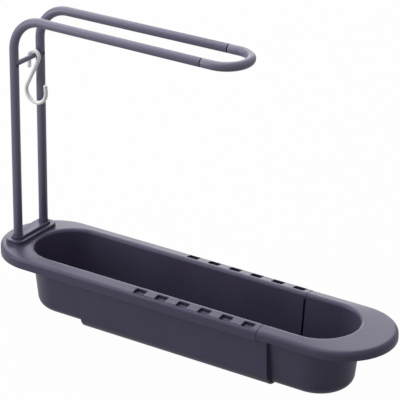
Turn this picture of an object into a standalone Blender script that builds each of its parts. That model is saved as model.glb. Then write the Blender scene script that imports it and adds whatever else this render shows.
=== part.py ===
"""Telescoping sink drying rack with a plug-in towel hanger.

Two moulded basket halves slide one in the other along X. The left half carries a
socket, and the hanger of bent tubes stands in it. Lengths are metres, Z is up, and
the rack stands on z = 0 with the origin under the middle of the closed rack.
"""

import math

import bmesh
import bpy
from mathutils import Matrix, Vector

# Basket opening and rim
OPENING_LENGTH = 0.311
OPENING_WIDTH = 0.064
SIDE_RIM_WIDTH = 0.0135
END_RIM_WIDTH = 0.0330
RIM_FALL = 0.0016
CREST_RADIUS = 0.0031
LEFT_EDGE_RADIUS = 0.0030
RIGHT_EDGE_RADIUS = 0.0042
LEFT_SKIRT_DROP = 0.0105
RIGHT_SKIRT_DROP = 0.0089

# Basket walls and floor
WALL = 0.0020
LEFT_DEPTH = 0.0526
RIGHT_DEPTH = 0.0539
FLOOR_CORNER_RADIUS = 0.0075
BASKET_DRAFT = math.radians(6.0)

# Telescoping joint
SEAM_FROM_MIDDLE = 0.0903
SEAM_GAP = 0.0003
SLIDE_CLEARANCE = 0.0005
RAIL_SIDE_CLEARANCE = 0.0006
WALL_SETBACK = 0.0016
SLEEVE_BEFORE_MIDDLE = 0.0903
SLEEVE_PAST_SEAM = 0.0044
SLEEVE_DRAFT = math.radians(3.0)
STEP_INSET = 0.0006

# Click windows in the rim of the left half
WINDOW_COUNT = 6
WINDOW_PITCH = 0.0210
WINDOW_LENGTH = 0.0104
WINDOW_WIDTH = 0.0068
WINDOW_CORNER = 0.0010
WINDOW_FROM_EDGE = 0.0055
LAST_WINDOW_FROM_SEAM = 0.0103

# Spring tongues in the rails of the right half
TONGUE_LENGTH = 0.0200
TONGUE_WIDTH = 0.0044
SLIT_WIDTH = 0.0010

# Drain slots in the floors
SLOTS_PER_WINDOW_PITCH = 2
SLOT_LENGTH = 0.0300
SLOT_WIDTH = 0.0030
SLOT_END_MARGIN = 0.0080

# Hanger socket in the left flange, and the foot that stands in it
SOCKET_FROM_OPENING = 0.0117
COLLAR_HEIGHT = 0.0036
COLLAR_WALL = 0.0034
COLLAR_CORNER = 0.0062
COLLAR_EDGE = 0.0006
SOCKET_WALL = 0.0022
SOCKET_DEPTH = 0.0085
SOCKET_FLOOR = 0.0016
FIT_GAP = 0.0003
FOOT_WALL = 0.0013
FOOT_RISE = 0.0022
FOOT_EDGE = 0.0005
FOOT_FLOOR = 0.0025

# Hanger tubes
TUBE_DIAMETER = 0.0078
TUBE_WALL = 0.0008
UPRIGHT_SPACING = 0.0360
HANGER_HEIGHT = 0.2030
BEND_RADIUS = 0.0290
ARM_LENGTH = 0.1863
LOOP_SPACING = 0.0396
LOOP_STRAIGHT = 0.0096
JOINT_GAP = 0.0008

# Plugs that join the loop to the arms
PLUG_LENGTH = 0.0240
PLUG_GAP = 0.0004

# Cross bar and its screws
BAR_DIAMETER = 0.0044
BAR_BELOW_ARMS = 0.0421
BAR_END_REACH = 0.0018
SCREW_HOLE_DIAMETER = 0.0034
SCREW_HEAD_DIAMETER = 0.0027
SCREW_HEAD_HEIGHT = 0.0008
SCREW_SHANK_DIAMETER = 0.0018
SCREW_TIP_MARGIN = 0.0004
DRIVE_SLOT_WIDTH = 0.0005
DRIVE_SLOT_DEPTH = 0.0004

# S-hook
HOOK_WIRE = 0.0034
HOOK_TOP_RADIUS = 0.0051
HOOK_LOW_RADIUS = 0.0103
HOOK_CENTRE_DROP = 0.0311
HOOK_CENTRE_SHIFT = 0.0022
HOOK_LEG = 0.0113
HOOK_TIP_ANGLE = math.radians(5.0)
HOOK_TIP_LENGTH = 0.0070
HOOK_FROM_MIDDLE = 0.0093

# Smoothness of the round shapes
END_SEGMENTS = 20
FILLET_SEGMENTS = 4
CORNER_SEGMENTS = 3
CAPSULE_SEGMENTS = 12
BEND_SEGMENTS = 9
TUBE_RESOLUTION = 4
HOOK_RESOLUTION = 2
HOOK_SEGMENTS = 12
CYLINDER_SIDES = 16
EDGE_SEGMENTS = 2

OVERRUN = 0.0010
WELD_DISTANCE = 0.00001

# Heights that follow from the sizes above
SLEEVE_FLOOR_TOP = WALL
LEFT_FLOOR_TOP = SLEEVE_FLOOR_TOP + SLIDE_CLEARANCE + WALL
CREST_HEIGHT = LEFT_FLOOR_TOP + LEFT_DEPTH
RIGHT_FLOOR_TOP = CREST_HEIGHT - RIGHT_DEPTH
WALL_TOP = CREST_HEIGHT - CREST_RADIUS

# Widths and ends of the two outlines
OPENING_HALF_WIDTH = OPENING_WIDTH / 2
OPENING_CENTRE = OPENING_LENGTH / 2 - OPENING_HALF_WIDTH
RIM_HALF_WIDTH = OPENING_HALF_WIDTH + SIDE_RIM_WIDTH
RIM_CENTRE = OPENING_LENGTH / 2 + END_RIM_WIDTH - RIM_HALF_WIDTH
RIM_SLOPE = math.atan2(RIM_FALL, SIDE_RIM_WIDTH - CREST_RADIUS)

# Places along the slide
LEFT_END = SEAM_FROM_MIDDLE
RIGHT_START = SEAM_FROM_MIDDLE + SEAM_GAP
SLEEVE_START = -SLEEVE_BEFORE_MIDDLE
SLEEVE_END = SEAM_FROM_MIDDLE + SLEEVE_PAST_SEAM
FIRST_WINDOW = SEAM_FROM_MIDDLE - LAST_WINDOW_FROM_SEAM - WINDOW_PITCH * (WINDOW_COUNT - 1)
WINDOW_OUT = RIM_HALF_WIDTH - WINDOW_FROM_EDGE
TONGUE_TIP = FIRST_WINDOW - WINDOW_PITCH + WINDOW_LENGTH / 2
RAIL_EDGE = RIM_HALF_WIDTH - WALL - RAIL_SIDE_CLEARANCE

# Hanger places
TUBE_RADIUS = TUBE_DIAMETER / 2
BORE_RADIUS = TUBE_RADIUS - TUBE_WALL
SOCKET_X = -(OPENING_LENGTH / 2 + SOCKET_FROM_OPENING)
UPRIGHT_OUT = UPRIGHT_SPACING / 2
FLANGE_SHARE = (SOCKET_FROM_OPENING - CREST_RADIUS) / (END_RIM_WIDTH - CREST_RADIUS)
FLANGE_HEIGHT = CREST_HEIGHT - RIM_FALL * FLANGE_SHARE
LIP_HEIGHT = FLANGE_HEIGHT + COLLAR_HEIGHT
SOCKET_BOTTOM = FLANGE_HEIGHT - SOCKET_DEPTH
FOOT_RADIUS = TUBE_RADIUS + FIT_GAP + FOOT_WALL
SOCKET_RADIUS = FOOT_RADIUS + FIT_GAP
COLLAR_OUT = SOCKET_RADIUS + COLLAR_WALL
FOOT_BOTTOM = SOCKET_BOTTOM + FIT_GAP
FOOT_TOP = LIP_HEIGHT + FOOT_RISE
TUBE_SEAT = FOOT_BOTTOM + FOOT_FLOOR
ARM_HEIGHT = CREST_HEIGHT + HANGER_HEIGHT
BAR_HEIGHT = ARM_HEIGHT - BAR_BELOW_ARMS
BAR_RADIUS = BAR_DIAMETER / 2
LOOP_OUT = LOOP_SPACING / 2
TOE_OUT = math.asin((LOOP_OUT - UPRIGHT_OUT) / ARM_LENGTH)
ARM_REACH = math.sqrt(ARM_LENGTH ** 2 - (LOOP_OUT - UPRIGHT_OUT) ** 2)
LOOP_START = SOCKET_X + ARM_REACH + JOINT_GAP
LOOP_CENTRE = LOOP_START + LOOP_STRAIGHT

SIDES = {"near": -1, "far": 1}
QUARTER_TURN = math.pi / 2
ALONG_X = (0.0, QUARTER_TURN, 0.0)
ALONG_Y = (QUARTER_TURN, 0.0, 0.0)
STAND_ALONG_X = ((0, 0, 1, 0), (1, 0, 0, 0), (0, 1, 0, 0), (0, 0, 0, 1))


def clear_scene():
    """Remove every object, so that the script can run again in an open file."""
    for item in list(bpy.data.objects):
        bpy.data.objects.remove(item, do_unlink=True)


def make_collection(name):
    """Return a new collection linked to the scene."""
    group = bpy.data.collections.new(name)
    bpy.context.scene.collection.children.link(group)
    return group


def make_material(name, colour, roughness, metallic=0.0):
    """Return a Principled material with a linear colour."""
    material = bpy.data.materials.new(name)
    material.use_nodes = True
    shader = material.node_tree.nodes["Principled BSDF"]
    shader.inputs["Base Color"].default_value = (*colour, 1.0)
    shader.inputs["Roughness"].default_value = roughness
    shader.inputs["Metallic"].default_value = metallic
    return material


def add_object(name, mesh, group, material=None):
    """Put a mesh in a collection as a smooth-shaded object."""
    item = bpy.data.objects.new(name, mesh)
    group.objects.link(item)
    if material:
        mesh.materials.append(material)
    mesh.shade_smooth()
    mesh.set_sharp_from_angle(angle=math.radians(30.0))
    return item


def add_cutter(name, mesh, group):
    """Put a mesh in the cutters' collection, drawn as wire and not rendered."""
    item = add_object(name, mesh, group)
    item.display_type = "WIRE"
    item.hide_render = True
    return item


def combine(item, tool, operation):
    """Add an exact Boolean of a tool object to an object."""
    modifier = item.modifiers.new(tool.name, "BOOLEAN")
    modifier.operation = operation
    modifier.solver = "EXACT"
    modifier.object = tool


def thicken(item, thickness):
    """Give an open surface a wall on its hidden side."""
    modifier = item.modifiers.new("Wall", "SOLIDIFY")
    modifier.thickness = thickness
    modifier.offset = -1.0
    modifier.use_even_offset = True


def round_edges(item, width):
    """Round the square edges of an object."""
    modifier = item.modifiers.new("Edges", "BEVEL")
    modifier.width = width
    modifier.segments = EDGE_SEGMENTS
    modifier.limit_method = "ANGLE"
    modifier.angle_limit = math.radians(60.0)


def arc(centre, radius, start, end, segments):
    """Return points along an arc in a plane, ends included."""
    points = []
    for step in range(segments + 1):
        angle = start + (end - start) * step / segments
        across = centre[0] + radius * math.cos(angle)
        along = centre[1] + radius * math.sin(angle)
        points.append((across, along))
    return points


def mesh_from(bm, name):
    """Turn a bmesh into a mesh and free it."""
    mesh = bpy.data.meshes.new(name)
    bm.to_mesh(mesh)
    bm.free()
    return mesh


def face_up_at_floor(bm):
    """Make the normals agree, with the lowest face looking up."""
    bmesh.ops.recalc_face_normals(bm, faces=bm.faces)
    floor = min(bm.faces, key=lambda face: face.calc_center_median().z)
    floor.normal_update()
    if floor.normal.z < 0:
        bmesh.ops.reverse_faces(bm, faces=bm.faces)


def mesh_of_curve(curve, group):
    """Turn a curve into a mesh with its caps welded on, and remove the curve."""
    source = bpy.data.objects.new(curve.name + "_curve", curve)
    group.objects.link(source)
    bpy.context.view_layer.update()
    evaluated = source.evaluated_get(bpy.context.evaluated_depsgraph_get())
    mesh = bpy.data.meshes.new_from_object(evaluated)
    mesh.name = curve.name
    bpy.data.objects.remove(source, do_unlink=True)
    bpy.data.curves.remove(curve)
    bm = bmesh.new()
    bm.from_mesh(mesh)
    bmesh.ops.remove_doubles(bm, verts=bm.verts, dist=WELD_DISTANCE)
    bmesh.ops.recalc_face_normals(bm, faces=bm.faces)
    bm.to_mesh(mesh)
    bm.free()
    return mesh


def plate(name, outline, centres, bottom, top, group):
    """Return a mesh with a flat outline at each centre, extruded between two heights."""
    curve = bpy.data.curves.new(name, "CURVE")
    curve.dimensions = "2D"
    curve.fill_mode = "BOTH"
    curve.extrude = (top - bottom) / 2
    for x, y in centres:
        spline = curve.splines.new("POLY")
        spline.points.add(len(outline) - 1)
        for point, (along, across) in zip(spline.points, outline):
            point.co = (x + along, y + across, 0.0, 1.0)
        spline.use_cyclic_u = True
    mesh = mesh_of_curve(curve, group)
    mesh.transform(Matrix.Translation((0.0, 0.0, (top + bottom) / 2)))
    return mesh


def cylinder(name, radius, start, end):
    """Return a closed cylinder along Z between two places on its axis."""
    bm = bmesh.new()
    bmesh.ops.create_cone(
        bm, cap_ends=True, segments=CYLINDER_SIDES, radius1=radius, radius2=radius,
        depth=end - start, matrix=Matrix.Translation((0.0, 0.0, (start + end) / 2)),
    )
    return mesh_from(bm, name)


def box(name, low, high):
    """Return a box between two opposite corners."""
    low = Vector(low)
    high = Vector(high)
    bm = bmesh.new()
    bmesh.ops.create_cube(bm, size=1.0, matrix=Matrix.LocRotScale((low + high) / 2, None, high - low))
    return mesh_from(bm, name)


def rounded_box(length, width, radius):
    """Return the outline of a rectangle with round corners."""
    half_length = length / 2 - radius
    half_width = width / 2 - radius
    corners = [(1, 1), (-1, 1), (-1, -1), (1, -1)]
    outline = []
    for turn, (along, across) in enumerate(corners):
        centre = (along * half_length, across * half_width)
        start = turn * QUARTER_TURN
        outline += arc(centre, radius, start, start + QUARTER_TURN, CORNER_SEGMENTS)
    return outline


def capsule(half_span, radius):
    """Return the outline of a slot along Y with round ends."""
    far = arc((0.0, half_span), radius, 0.0, math.pi, CAPSULE_SEGMENTS)
    near = arc((0.0, -half_span), radius, math.pi, 2 * math.pi, CAPSULE_SEGMENTS)
    return far + near


def half_width_at(height, offset, draft):
    """Return half the width of a drafted wall at a height, moved out by an offset."""
    slope = math.tan(draft) * (WALL_TOP - height)
    return OPENING_HALF_WIDTH - slope + offset / math.cos(draft)


def floor_corner(offset, draft, floor_top):
    """Return the section's points round the corner between a wall and the floor."""
    height = floor_top + FLOOR_CORNER_RADIUS
    centre = (half_width_at(height, -FLOOR_CORNER_RADIUS, draft), height)
    return arc(centre, FLOOR_CORNER_RADIUS + offset, -draft, -QUARTER_TURN, FILLET_SEGMENTS)


def basket_rings(skirt_drop, edge_radius, floor_top):
    """Return the skin's rings from the skirt's foot over the rim to the floor.

    Each ring is a half width, the centre of its round end, and a height.
    """
    turn = QUARTER_TURN - RIM_SLOPE
    corner_height = CREST_HEIGHT - RIM_FALL
    edge_centre = (RIM_HALF_WIDTH - edge_radius, corner_height - edge_radius * math.tan(turn / 2))
    crest_centre = (OPENING_HALF_WIDTH + CREST_RADIUS, WALL_TOP)
    rings = [(RIM_HALF_WIDTH, RIM_CENTRE, CREST_HEIGHT - skirt_drop)]
    for out, height in arc(edge_centre, edge_radius, 0.0, turn, FILLET_SEGMENTS):
        rings.append((out, RIM_CENTRE, height))
    for out, height in arc(crest_centre, CREST_RADIUS, turn, math.pi, FILLET_SEGMENTS):
        rings.append((out, OPENING_CENTRE, height))
    for out, height in floor_corner(0.0, BASKET_DRAFT, floor_top):
        rings.append((out, OPENING_CENTRE, height))
    return rings


def basket_skin(name, rings, side, open_end):
    """Loft rings into the skin of one half, open at its seam and round at its end."""
    bm = bmesh.new()
    rows = []
    for half_width, centre, height in rings:
        path = [(open_end, half_width)]
        round_end = arc((centre, 0.0), half_width, QUARTER_TURN, -QUARTER_TURN, END_SEGMENTS)
        for along, across in round_end:
            path.append((side * along, across))
        path.append((open_end, -half_width))
        rows.append([bm.verts.new((x, y, height)) for x, y in path])
    for outer, inner in zip(rows, rows[1:]):
        for index in range(len(outer) - 1):
            bm.faces.new((outer[index], outer[index + 1], inner[index + 1], inner[index]))
    bm.faces.new(rows[-1])
    face_up_at_floor(bm)
    return mesh_from(bm, name)


def channel_section(offset, draft, rail_edge, floor_top):
    """Return an open section from one rail's edge round the floor to the other's."""
    crest_out = OPENING_HALF_WIDTH + CREST_RADIUS * (1 + math.sin(RIM_SLOPE))
    crest_height = WALL_TOP + CREST_RADIUS * math.cos(RIM_SLOPE)
    line_height = crest_height - offset / math.cos(RIM_SLOPE)
    edge_height = line_height - math.tan(RIM_SLOPE) * (rail_edge - crest_out)
    wall_out = half_width_at(line_height, offset, draft)
    wall_height = line_height + math.tan(RIM_SLOPE) * (crest_out - wall_out)
    half = [(rail_edge, edge_height), (half_width_at(wall_height, offset, draft), wall_height)]
    half += floor_corner(offset, draft, floor_top)
    return half + [(-out, height) for out, height in reversed(half)]


def strip_skin(name, section, start, end):
    """Draw a section along X as an open surface."""
    bm = bmesh.new()
    corners = [bm.verts.new((start, y, z)) for y, z in section]
    line = [bm.edges.new(pair) for pair in zip(corners, corners[1:])]
    drawn = bmesh.ops.extrude_edge_only(bm, edges=line)["geom"]
    moved = [item for item in drawn if isinstance(item, bmesh.types.BMVert)]
    bmesh.ops.translate(bm, verts=moved, vec=(end - start, 0.0, 0.0))
    face_up_at_floor(bm)
    return mesh_from(bm, name)


def slot_places(start, end):
    """Return the drain slots' centres between two ends, in line with the windows."""
    pitch = WINDOW_PITCH / SLOTS_PER_WINDOW_PITCH
    first = math.ceil((start + SLOT_END_MARGIN - FIRST_WINDOW) / pitch)
    last = math.floor((end - SLOT_END_MARGIN - FIRST_WINDOW) / pitch)
    return [(FIRST_WINDOW + pitch * step, 0.0) for step in range(first, last + 1)]


def slot_cutter(name, start, end, group):
    """Return a cutter for the drain slots between two ends."""
    outline = capsule((SLOT_LENGTH - SLOT_WIDTH) / 2, SLOT_WIDTH / 2)
    top = LEFT_FLOOR_TOP + OVERRUN
    mesh = plate(name, outline, slot_places(start, end), -OVERRUN, top, group)
    return add_cutter(name, mesh, group)


def build_left_basket(parts, cutters, material):
    """Build the left half: basket, rim with windows, and the hanger's socket."""
    rings = basket_rings(LEFT_SKIRT_DROP, LEFT_EDGE_RADIUS, LEFT_FLOOR_TOP)
    skin = basket_skin("left_basket", rings, -1, LEFT_END)
    basket = add_object("left_basket", skin, parts, material)
    thicken(basket, WALL)

    centres = [(SOCKET_X, 0.0)]
    body = plate(
        "socket_body", capsule(UPRIGHT_OUT, SOCKET_RADIUS + SOCKET_WALL), centres,
        SOCKET_BOTTOM - SOCKET_FLOOR, FLANGE_HEIGHT, cutters,
    )
    body_tool = add_cutter("socket_body", body, cutters)
    outline = rounded_box(2 * COLLAR_OUT, 2 * (UPRIGHT_OUT + COLLAR_OUT), COLLAR_CORNER)
    collar = plate("collar", outline, centres, FLANGE_HEIGHT - WALL / 2, LIP_HEIGHT, cutters)
    collar_tool = add_cutter("collar", collar, cutters)
    round_edges(collar_tool, COLLAR_EDGE)
    combine(body_tool, collar_tool, "UNION")
    combine(basket, body_tool, "UNION")

    well = plate(
        "socket_well", capsule(UPRIGHT_OUT, SOCKET_RADIUS), centres,
        SOCKET_BOTTOM, LIP_HEIGHT + OVERRUN, cutters,
    )
    combine(basket, add_cutter("socket_well", well, cutters), "DIFFERENCE")

    places = []
    for side in SIDES.values():
        for step in range(WINDOW_COUNT):
            places.append((FIRST_WINDOW + WINDOW_PITCH * step, side * WINDOW_OUT))
    windows = plate(
        "windows", rounded_box(WINDOW_LENGTH, WINDOW_WIDTH, WINDOW_CORNER), places,
        CREST_HEIGHT - RIM_FALL - WALL - OVERRUN, CREST_HEIGHT + OVERRUN, cutters,
    )
    combine(basket, add_cutter("windows", windows, cutters), "DIFFERENCE")

    across = OPENING_HALF_WIDTH + WALL + SLIDE_CLEARANCE
    setback = box(
        "wall_setback", (LEFT_END - WALL_SETBACK, -across, -OVERRUN),
        (LEFT_END + OVERRUN, across, WALL_TOP - WALL),
    )
    combine(basket, add_cutter("wall_setback", setback, cutters), "DIFFERENCE")

    slots = slot_cutter("left_slots", -OPENING_CENTRE, LEFT_END - WALL_SETBACK, cutters)
    combine(basket, slots, "DIFFERENCE")
    return basket


def build_right_basket(parts, cutters, material):
    """Build the right half: round end, step, and the sleeve with its rails."""
    rings = basket_rings(RIGHT_SKIRT_DROP, RIGHT_EDGE_RADIUS, RIGHT_FLOOR_TOP)
    skin = basket_skin("right_basket", rings, 1, RIGHT_START)
    basket = add_object("right_basket", skin, parts, material)
    thicken(basket, WALL)

    nest = WALL + SLIDE_CLEARANCE
    section = channel_section(nest, SLEEVE_DRAFT, RAIL_EDGE, LEFT_FLOOR_TOP)
    sleeve = add_cutter("sleeve", strip_skin("sleeve", section, SLEEVE_START, SLEEVE_END), cutters)
    thicken(sleeve, WALL)

    step_edge = RAIL_EDGE - STEP_INSET
    outline = channel_section(WALL / 2, BASKET_DRAFT, step_edge, RIGHT_FLOOR_TOP)
    outline += reversed(channel_section(nest + WALL / 2, SLEEVE_DRAFT, step_edge, LEFT_FLOOR_TOP))
    step_mesh = plate(
        "sleeve_step", outline, [(0.0, 0.0)],
        RIGHT_START + STEP_INSET, SLEEVE_END - STEP_INSET, cutters,
    )
    step_mesh.transform(Matrix(STAND_ALONG_X))
    step = add_cutter("sleeve_step", step_mesh, cutters)
    combine(sleeve, step, "UNION")
    combine(basket, sleeve, "UNION")

    combine(basket, tongue_cutter(cutters), "DIFFERENCE")
    sleeve_slots = slot_cutter("sleeve_slots", SLEEVE_START, LEFT_END - WALL_SETBACK, cutters)
    combine(basket, sleeve_slots, "DIFFERENCE")
    end_slots = slot_cutter("right_slots", SLEEVE_END, OPENING_CENTRE, cutters)
    combine(basket, end_slots, "DIFFERENCE")
    return basket


def tongue_cutter(group):
    """Return the cutter for the U-shaped slit round the tongue in each rail."""
    half = TONGUE_WIDTH / 2
    outline = [
        (TONGUE_TIP - TONGUE_LENGTH, half + SLIT_WIDTH),
        (TONGUE_TIP - TONGUE_LENGTH, half),
        (TONGUE_TIP, half),
        (TONGUE_TIP, -half),
        (TONGUE_TIP - TONGUE_LENGTH, -half),
        (TONGUE_TIP - TONGUE_LENGTH, -half - SLIT_WIDTH),
        (TONGUE_TIP + SLIT_WIDTH, -half - SLIT_WIDTH),
        (TONGUE_TIP + SLIT_WIDTH, half + SLIT_WIDTH),
    ]
    inner = half_width_at(WALL_TOP, 2 * WALL + SLIDE_CLEARANCE, SLEEVE_DRAFT)
    middle = (inner + RAIL_EDGE) / 2
    places = [(0.0, side * middle) for side in SIDES.values()]
    mesh = plate("tongue_slits", outline, places, WALL_TOP - 3 * WALL, CREST_HEIGHT, group)
    return add_cutter("tongue_slits", mesh, group)


def rod(name, points, radius, resolution, group):
    """Return a mesh swept round along points, closed at both ends."""
    curve = bpy.data.curves.new(name, "CURVE")
    curve.dimensions = "3D"
    curve.bevel_depth = radius
    curve.bevel_resolution = resolution
    curve.use_fill_caps = True
    spline = curve.splines.new("POLY")
    spline.points.add(len(points) - 1)
    for point, spot in zip(spline.points, points):
        point.co = (*spot, 1.0)
    return mesh_of_curve(curve, group)


def rail_path(overrun):
    """Return an upright's centre line from its foot over the bend to the seam."""
    bend_centre = (BEND_RADIUS, ARM_HEIGHT - BEND_RADIUS)
    points = [(0.0, TUBE_SEAT + FIT_GAP - overrun)]
    points += arc(bend_centre, BEND_RADIUS, math.pi, QUARTER_TURN, BEND_SEGMENTS)
    points.append((ARM_LENGTH + overrun, ARM_HEIGHT))
    return [(x, 0.0, z) for x, z in points]


def loop_path(overrun):
    """Return the end loop's centre line, open towards the arms."""
    points = [(LOOP_START - overrun, -LOOP_OUT)]
    points += arc((LOOP_CENTRE, 0.0), LOOP_OUT, -QUARTER_TURN, QUARTER_TURN, 2 * BEND_SEGMENTS)
    points.append((LOOP_START - overrun, LOOP_OUT))
    return [(x, y, ARM_HEIGHT) for x, y in points]


def place(item, location, parent, turn=0.0):
    """Set an object's world place, turned about Z, and hang it on its parent."""
    item.rotation_euler = (0.0, 0.0, turn)
    item.parent = parent
    item.location = Vector(location) - parent.location


def drill(name, radius, start, end, turn, spot, group):
    """Return a cutter cylinder turned from Z to another axis at a place."""
    tool = add_cutter(name, cylinder(name, radius, start, end), group)
    tool.rotation_euler = turn
    tool.location = spot
    return tool


def build_rail(name, side, parts, cutters, material, anchor):
    """Build one bent tube with its holes for the cross bar and the screw."""
    outer = rod(name, rail_path(0.0), TUBE_RADIUS, TUBE_RESOLUTION, cutters)
    rail = add_object(name, outer, parts, material)
    base = (SOCKET_X, side * UPRIGHT_OUT, 0.0)
    place(rail, base, anchor, side * TOE_OUT)

    inner = rod(name + "_bore", rail_path(OVERRUN), BORE_RADIUS, TUBE_RESOLUTION, cutters)
    bore = add_cutter(name + "_bore", inner, cutters)
    place(bore, base, anchor, side * TOE_OUT)
    combine(rail, bore, "DIFFERENCE")

    reach = TUBE_RADIUS + OVERRUN
    inset = -(BAR_END_REACH + FIT_GAP)
    spot = (SOCKET_X, side * UPRIGHT_OUT, BAR_HEIGHT)
    radius = BAR_RADIUS + FIT_GAP
    inward = (side * QUARTER_TURN, 0.0, 0.0)
    hole = drill(name + "_bar_hole", radius, inset, reach, inward, spot, cutters)
    combine(rail, hole, "DIFFERENCE")
    radius = SCREW_HOLE_DIAMETER / 2
    hole = drill(name + "_screw_hole", radius, 0.0, reach, ALONG_X, spot, cutters)
    combine(rail, hole, "DIFFERENCE")
    return rail


def build_end_loop(parts, cutters, material, anchor):
    """Build the U-shaped tube that joins the two arms."""
    outer = rod("end_loop", loop_path(0.0), TUBE_RADIUS, TUBE_RESOLUTION, cutters)
    loop = add_object("end_loop", outer, parts, material)
    place(loop, (0.0, 0.0, 0.0), anchor)
    inner = rod("end_loop_bore", loop_path(OVERRUN), BORE_RADIUS, TUBE_RESOLUTION, cutters)
    bore = add_cutter("end_loop_bore", inner, cutters)
    place(bore, (0.0, 0.0, 0.0), anchor)
    combine(loop, bore, "DIFFERENCE")
    return loop


def build_plug(name, side, parts, material, anchor):
    """Build the short plug inside one seam between an arm and the loop."""
    radius = BORE_RADIUS - PLUG_GAP
    mesh = cylinder(name, radius, -PLUG_LENGTH / 2, PLUG_LENGTH / 2)
    plug = add_object(name, mesh, parts, material)
    plug.rotation_euler = ALONG_X
    plug.parent = anchor
    middle = Vector((LOOP_START - JOINT_GAP / 2, side * LOOP_OUT, ARM_HEIGHT))
    plug.location = middle - anchor.location
    return plug


def build_foot(parts, cutters, material, anchor):
    """Build the block that holds both uprights and stands in the socket."""
    mesh = plate(
        "hanger_foot", capsule(UPRIGHT_OUT, FOOT_RADIUS), [(0.0, 0.0)],
        FOOT_BOTTOM - LIP_HEIGHT, FOOT_TOP - LIP_HEIGHT, cutters,
    )
    foot = add_object("hanger_foot", mesh, parts, material)
    place(foot, (SOCKET_X, 0.0, LIP_HEIGHT), anchor)
    round_edges(foot, FOOT_EDGE)
    for side_name, side in SIDES.items():
        name = side_name + "_tube_socket"
        socket = cylinder(name, TUBE_RADIUS + FIT_GAP, TUBE_SEAT, FOOT_TOP + OVERRUN)
        socket_tool = add_cutter(name, socket, cutters)
        socket_tool.location = (SOCKET_X, side * UPRIGHT_OUT, 0.0)
        combine(foot, socket_tool, "DIFFERENCE")
    return foot


def build_cross_bar(parts, cutters, material, anchor):
    """Build the bar between the uprights, cross-drilled near each end."""
    reach = UPRIGHT_OUT + BAR_END_REACH
    bar = add_object("cross_bar", cylinder("cross_bar", BAR_RADIUS, -reach, reach), parts, material)
    bar.rotation_euler = ALONG_Y
    bar.parent = anchor
    bar.location = Vector((SOCKET_X, 0.0, BAR_HEIGHT)) - anchor.location
    for side_name, side in SIDES.items():
        name = side_name + "_shank_hole"
        radius = SCREW_SHANK_DIAMETER / 2 + FIT_GAP
        depth = BAR_RADIUS + OVERRUN
        spot = (SOCKET_X, side * UPRIGHT_OUT, BAR_HEIGHT)
        hole = drill(name, radius, -depth, depth, ALONG_X, spot, cutters)
        combine(bar, hole, "DIFFERENCE")
    return bar


def build_screw(name, side, parts, cutters, material, anchor):
    """Build one small screw, driven along X through the bar's end."""
    head_start = BAR_RADIUS + FIT_GAP
    head_end = head_start + SCREW_HEAD_HEIGHT
    tip = -(BAR_RADIUS - SCREW_TIP_MARGIN)
    head_radius = SCREW_HEAD_DIAMETER / 2
    shank_radius = SCREW_SHANK_DIAMETER / 2
    profile = [
        (0.0, head_end), (head_radius, head_end), (head_radius, head_start),
        (shank_radius, head_start), (shank_radius, tip + shank_radius), (0.0, tip),
    ]
    bm = bmesh.new()
    corners = [bm.verts.new((out, 0.0, along)) for out, along in profile]
    for upper, lower in zip(corners, corners[1:]):
        bm.edges.new((upper, lower))
    screw = add_object(name, mesh_from(bm, name), parts, material)
    turn = screw.modifiers.new("Turned", "SCREW")
    turn.angle = 2 * math.pi
    turn.steps = CYLINDER_SIDES
    turn.render_steps = CYLINDER_SIDES
    turn.use_merge_vertices = True
    turn.merge_threshold = WELD_DISTANCE
    turn.use_normal_calculate = True
    screw.rotation_euler = ALONG_X
    screw.parent = anchor
    screw.location = Vector((SOCKET_X, side * UPRIGHT_OUT, BAR_HEIGHT)) - anchor.location
    half_length = head_radius + OVERRUN
    half_width = DRIVE_SLOT_WIDTH / 2
    slot_mesh = box(
        name + "_slot", (-half_length, -half_width, head_end - DRIVE_SLOT_DEPTH),
        (half_length, half_width, head_end + OVERRUN),
    )
    slot = add_cutter(name + "_slot", slot_mesh, cutters)
    slot.rotation_euler = ALONG_X
    slot.parent = anchor
    slot.location = screw.location
    combine(screw, slot, "DIFFERENCE")
    return screw


def hook_path():
    """Return the S-hook's centre line about the bar's axis, hanging at rest.

    A round top passes over the bar, a leg hangs behind it, and the line that
    touches both circles from inside leads to the open lower hook.
    """
    top = Vector((0.0, BAR_RADIUS + FIT_GAP + HOOK_WIRE / 2 - HOOK_TOP_RADIUS))
    low = top + Vector((HOOK_CENTRE_SHIFT, -HOOK_CENTRE_DROP))
    between = low - top
    heading = math.atan2(between.y, between.x)
    swing = math.acos((HOOK_TOP_RADIUS + HOOK_LOW_RADIUS) / between.length)
    leave = heading + swing
    meet = leave - math.pi
    points = [(top.x - HOOK_TOP_RADIUS, top.y - HOOK_LEG)]
    points += arc(top, HOOK_TOP_RADIUS, math.pi, leave, HOOK_SEGMENTS)
    points += arc(low, HOOK_LOW_RADIUS, meet, HOOK_TIP_ANGLE, HOOK_SEGMENTS)
    tip_x, tip_z = points[-1]
    tip_x -= HOOK_TIP_LENGTH * math.sin(HOOK_TIP_ANGLE)
    tip_z += HOOK_TIP_LENGTH * math.cos(HOOK_TIP_ANGLE)
    points.append((tip_x, tip_z))
    return hang(points)


def hang(points):
    """Turn a wire's points about the bar, so that its weight is below the bar."""
    total = 0.0
    moment = Vector((0.0, 0.0))
    for start, end in zip(points, points[1:]):
        first = Vector(start)
        second = Vector(end)
        length = (second - first).length
        total += length
        moment += (first + second) / 2 * length
    balance = moment / total
    turn = math.atan2(balance.x, -balance.y)
    cosine = math.cos(-turn)
    sine = math.sin(-turn)
    return [(x * cosine - z * sine, 0.0, x * sine + z * cosine) for x, z in points]


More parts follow.
